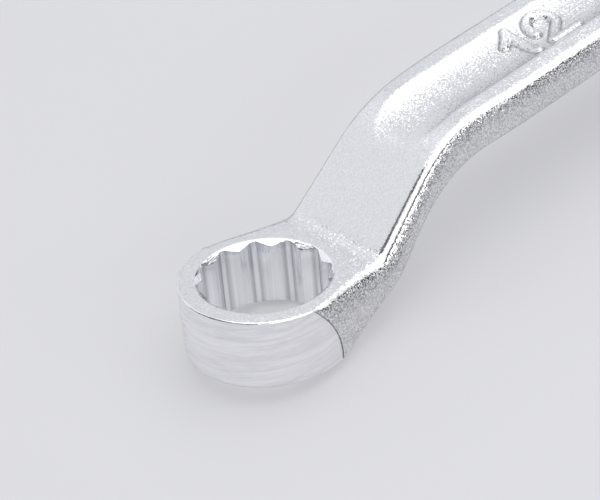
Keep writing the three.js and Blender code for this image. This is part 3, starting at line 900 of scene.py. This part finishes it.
def line_chrome(name, base, corner_shade_colour, line_width, stretch, turn, roughness, tilt, tones):
    """Bright chrome plate over machined steel. The tool leaves fine lines along its path, each with its own
    slight tilt: noise on the place in the ring's own frame, turned by an angle and drawn out by the stretch
    along each axis. Lines and the broader bands that they gather in differ in brightness. Beside the
    opening's corners a darker, bluer painted shade is mixed in. The line width is in millimetres, and all
    lines are drawn coarser than they are, so that they show."""
    material, tree, output = new_material(name)
    place = add_node(tree, "Attribute", attribute_name="ring_place").outputs["Vector"]
    turned = add_node(tree, "Mapping", {
        "Vector": place, "Rotation": (0, np.radians(turn), 0),
    }, vector_type="POINT")
    drawn = add_node(tree, "Mapping", {
        "Vector": turned.outputs["Vector"], "Scale": tuple(1 / (line_width * MM * s) for s in stretch),
    }, vector_type="POINT").outputs["Vector"]
    lines = add_node(tree, "TexNoise", {"Vector": drawn, "Scale": 1.0, "Detail": 4.0, "Roughness": 0.65})
    smoothest, roughest = (roughness * part for part in ROUGHNESS_SPREAD)
    rough = add_node(tree, "MapRange", {
        "Value": lines.outputs["Fac"], **NOISE_RANGE, "To Min": smoothest, "To Max": roughest,
    })
    bands = add_node(tree, "TexNoise", {"Vector": drawn, "Scale": BAND_SCALE, "Detail": 1.0})
    both = add_node(tree, "Math", {0: lines.outputs["Fac"], 1: bands.outputs["Fac"]}, operation="ADD")
    tone = add_node(tree, "MapRange", {
        "Value": both.outputs["Value"], **SUM_RANGE, "To Min": tones[0], "To Max": tones[1],
    })
    toned = add_node(tree, "VectorMath", {0: base, "Scale": tone.outputs["Result"]}, operation="SCALE")
    shade = add_node(tree, "Attribute", attribute_name="step_dirt").outputs["Fac"]
    shaded = add_node(tree, "Mix", {
        "Factor": shade, 6: toned.outputs["Vector"], 7: (*corner_shade_colour, 1),
    }, data_type="RGBA")
    shader = add_node(tree, "BsdfPrincipled", {
        "Base Color": shaded.outputs[2], "Metallic": 1.0, "Roughness": rough.outputs["Result"],
        "Normal": scattered(tree, lines.outputs["Color"], tilt),
    })
    tree.links.new(shader.outputs["BSDF"], output.inputs["Surface"])
    return material


def ground_chrome(colours):
    """Chrome over a ring that was ground by a belt: lines run round it, a little aslant."""
    return line_chrome(
        "chrome_on_ground_steel", colours.ground, colours.corner_shade_colour, line_width=0.11, stretch=(11, 11, 1),
        turn=7, roughness=0.18, tilt=(0.6, 0.6, 1.1), tones=(0.84, 1.0))


def broached_chrome(colours):
    """Chrome over a broached wall: the teeth leave lines along the ring's axis."""
    return line_chrome(
        "chrome_on_broached_steel", colours.broached, colours.corner_shade_colour, line_width=0.22, stretch=(1, 1, 60),
        turn=0, roughness=0.1, tilt=(0.6, 0.6, 0), tones=(0.88, 1.02))


def turned_chrome(colours):
    """Chrome over a turned chamfer: the tool leaves lines round it."""
    return line_chrome(
        "chrome_on_turned_steel", colours.broached, colours.corner_shade_colour, line_width=0.1, stretch=(12, 12, 1),
        turn=0, roughness=0.18, tilt=(0.8, 0.8, 1.4), tones=(0.86, 1.0))


class SPANNER_OT_forging(bpy.types.Operator):
    """Makes the whole forging as one closed skin: two rings, two necks and the fluted handle"""

    bl_idname = "spanner.forging"
    bl_label = "Forging"

    def execute(self, context):
        scene = context.scene
        points, faces, kinds, values = whole_spanner(
            scene.spanner_sizes, scene.spanner_steps, scene.spanner_marks)
        mesh = bpy.data.meshes.new("spanner_forging")
        mesh.from_pydata(points, [], faces)
        finishes = {
            "satin": satin_chrome(scene.spanner_colours),
            "band": ground_chrome(scene.spanner_colours),
            "broached": broached_chrome(scene.spanner_colours),
            "chamfer": turned_chrome(scene.spanner_colours),
        }
        for material in finishes.values():
            mesh.materials.append(material)
        slots = np.array([list(finishes).index(kind) for kind in kinds], np.int32)
        mesh.polygons.foreach_set("material_index", slots)
        mesh.polygons.foreach_set("use_smooth", np.ones(len(faces), bool))
        for name, value in values.items():
            vector = value.ndim == 2
            attribute = mesh.attributes.new(name, "FLOAT_VECTOR" if vector else "FLOAT", "POINT")
            attribute.data.foreach_set("vector" if vector else "value", value.astype(np.float32).ravel())
        mesh.validate()
        mesh.update()
        piece = bpy.data.objects.new("spanner_forging", mesh)
        scene.collection.objects.link(piece)
        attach(piece, BODY)
        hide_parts(CAD_NODE)
        return {"FINISHED"}


class StageSizes(bpy.types.PropertyGroup):
    """Size of the floor, and the brightness of the studio's lamps, where 1 is white"""

    floor_size: length("Floor", "Side of the floor", 3000)
    floor_plain: share("Plain floor", "How far the floor is seen in its plain colour rather than lit", 0.45)
    key_level: share("Key light", "Panels above the handle, and the small one in front on the right", 1.16)
    top_level: share("Top light", "Panel above and before the small ring", 1.05)
    back_level: share("Back light", "Panel behind on the left", 0.75)
    side_level: share("Side light", "Panels behind on the right and on the right", 0.68)
    front_level: share("Front light", "Panel in front, low down", 2.8)
    low_level: share("Low light", "Strip behind, low down", 0.28)
    left_level: share("Left light", "Panel in front on the left", 0.32)
    room_level: share("Room", "Light from all round", 0.07)


# Each lamp's name, its centre, target and size in metres, its brightness and its colour
PANELS = (
    ("key", (-0.03, -0.085, 0.5), (-0.03, -0.084, 0), (0.5, 0.71), "key_level", "key"),
    ("key_right", (0.39, -0.07, 0.5), (0.39, -0.069, 0), (0.34, 0.86), "key_level", "key"),
    ("top", (-0.365, -0.185, 0.5), (-0.365, -0.184, 0), (0.17, 0.47), "top_level", "key"),
    ("back_left", (-0.3, 0.55, 0.39), (-0.3, 0, 0.12), (0.7, 0.72), "back_level", "sky"),
    ("back_right", (0.5, 0.55, 0.44), (0.4, 0, 0.21), (0.9, 0.68), "side_level", "sky"),
    ("low", (0.4, 0.6, 0.055), (0.4, 0, 0.055), (1.6, 0.09), "low_level", "low_sky"),
    ("right", (0.95, 0.2, 0.22), (0, 0.2, 0.1), (0.9, 0.38), "side_level", "sky"),
    ("front", (-0.15, -0.55, 0.2), (-0.1, 0, 0), (0.7, 0.2), "front_level", "key"),
    ("edge", (0.33, -0.55, 0.42), (-0.05, 0, 0.03), (0.4, 0.24), "key_level", "key"),
    ("front_left", (-0.75, -0.35, 0.6), (-0.1, 0, 0), (0.7, 0.5), "left_level", "key"),
)

# The camera as fitted to the photograph, in millimetres and degrees
CAMERA_PLACE = (-168.4, -108.55, 101.7)
CAMERA_LENS = 96
CAMERA_SENSOR = 36
CAMERA_ELEVATION = 30.847
CAMERA_AZIMUTH = -38.0
CAMERA_ROLL = -5.182


def camera_axes(elevation, azimuth, roll):
    """Right, up and back of a camera, from its angles in degrees. Back points from the object to it."""
    e, a, r = np.radians([elevation, azimuth, roll])
    back = np.array([np.cos(e) * np.sin(a), -np.cos(e) * np.cos(a), np.sin(e)])
    right = np.array([np.cos(a), np.sin(a), 0])
    up = np.cross(back, right)
    return np.cos(r) * right + np.sin(r) * up, -np.sin(r) * right + np.cos(r) * up, back


def add_camera(p):
    """Camera at the photograph's angle. Its axes are given to the small ring's face and turned with it."""
    axes = np.stack(camera_axes(CAMERA_ELEVATION, CAMERA_AZIMUTH, CAMERA_ROLL), -1)
    place = np.eye(4)
    place[:3, :3] = np.array(Matrix.Rotation(p.ring_tilt, 3, "Y")) @ axes
    place[:3, 3] = np.array(CAMERA_PLACE) * MM
    data = bpy.data.cameras.new("camera")
    data.lens = CAMERA_LENS
    data.sensor_width = CAMERA_SENSOR
    data.clip_start = 1 * MM
    camera = bpy.data.objects.new("camera", data)
    camera.matrix_world = Matrix(place)
    bpy.context.scene.collection.objects.link(camera)
    bpy.context.scene.camera = camera


def add_panel(name, centre, target, size, level, tint):
    """Oblong lamp that faces a target. Lengths are in metres. Blender's power for such a lamp is 4 times its
    area times its brightness."""
    data = bpy.data.lights.new(name, "AREA")
    data.shape = "RECTANGLE"
    data.size, data.size_y = size
    data.energy = 4 * size[0] * size[1] * level
    data.color = tint
    lamp = bpy.data.objects.new(name, data)
    back = np.array(centre, float) - np.array(target, float)
    back /= np.linalg.norm(back)
    right = np.cross((0, 0, 1), back)
    right /= np.linalg.norm(right)
    place = np.eye(4)
    place[:3, :3] = np.stack([right, np.cross(back, right), back], -1)
    place[:3, 3] = centre
    lamp.matrix_world = Matrix(place)
    bpy.context.scene.collection.objects.link(lamp)


def floor_material(colours, plain_share):
    """Matt studio paper, which the camera and the chrome see partly lit and partly in its own plain colour,
    so that shadows on it stay soft."""
    material, tree, output = new_material("matt_studio_paper")
    paper = add_node(tree, "BsdfDiffuse", {"Color": (*colours.floor, 1)})
    plain_paper = add_node(tree, "Emission", {"Color": (*colours.floor, 1), "Strength": 1.0})
    ray = add_node(tree, "LightPath")
    seen = add_node(tree, "Math", {
        0: ray.outputs["Is Camera Ray"], 1: ray.outputs["Is Glossy Ray"],
    }, operation="ADD")
    seen = add_node(tree, "Math", {
        0: seen.outputs["Value"], 1: ray.outputs["Is Transmission Ray"],
    }, operation="ADD", use_clamp=True)
    part = add_node(tree, "Math", {0: seen.outputs["Value"], 1: plain_share}, operation="MULTIPLY")
    shader = add_node(tree, "MixShader", {
        0: part.outputs["Value"], 1: paper.outputs["BSDF"], 2: plain_paper.outputs["Emission"],
    })
    tree.links.new(shader.outputs["Shader"], output.inputs["Surface"])
    return material


class SPANNER_OT_stage(bpy.types.Operator):
    """Makes the floor, the lamps, the light of the room and the camera"""

    bl_idname = "spanner.stage"
    bl_label = "Studio"

    def execute(self, context):
        scene = context.scene
        stage, colours = scene.spanner_stage, scene.spanner_colours
        half = stage.floor_size / 2
        mesh = bpy.data.meshes.new("studio_floor")
        corners = [(-half, -half, 0), (half, -half, 0), (half, half, 0), (-half, half, 0)]
        mesh.from_pydata(corners, [], [(0, 1, 2, 3)])
        mesh.materials.append(floor_material(colours, stage.floor_plain))
        floor = bpy.data.objects.new("studio_floor", mesh)
        scene.collection.objects.link(floor)
        world = bpy.data.worlds.new("studio")
        scene.world = world
        world.use_nodes = True
        tree = world.node_tree
        tree.nodes.clear()
        light = add_node(tree, "Background", {"Color": (*colours.world, 1), "Strength": stage.room_level})
        output = add_node(tree, "OutputWorld")
        tree.links.new(light.outputs["Background"], output.inputs["Surface"])
        for name, centre, target, size, level, tint in PANELS:
            add_panel(name, centre, target, size, getattr(stage, level), getattr(colours, tint))
        add_camera(scene.spanner_sizes)
        scene.view_settings.view_transform = "Standard"
        return {"FINISHED"}


class SPANNER_PT_panel(bpy.types.Panel):
    """Sizes, colours and pieces of the spanner"""

    bl_label = "Ring spanner"
    bl_idname = "SPANNER_PT_panel"
    bl_space_type = "VIEW_3D"
    bl_region_type = "UI"
    bl_category = "Spanner"

    def draw(self, context):
        for name in GROUPS:
            group = getattr(context.scene, name)
            for key in group.__annotations__:
                self.layout.prop(group, key)
        for operator in (SPANNER_OT_forging, SPANNER_OT_stage):
            self.layout.operator(operator.bl_idname)


GROUPS = {
    "spanner_sizes": SpannerSizes,
    "spanner_marks": MarkSizes,
    "spanner_steps": MeshSteps,
    "spanner_colours": FinishColours,
    "spanner_stage": StageSizes,
}
CLASSES = (*GROUPS.values(), SPANNER_OT_forging, SPANNER_OT_stage, SPANNER_PT_panel)


def register():
    for cls in CLASSES:
        bpy.utils.register_class(cls)
    for name, group in GROUPS.items():
        setattr(bpy.types.Scene, name, PointerProperty(type=group))


def unregister():
    for name in GROUPS:
        delattr(bpy.types.Scene, name)
    for cls in reversed(CLASSES):
        bpy.utils.unregister_class(cls)


def main():
    register()
    bpy.ops.spanner.stage()
    bpy.ops.spanner.forging()


if __name__ == "__main__":
    main()
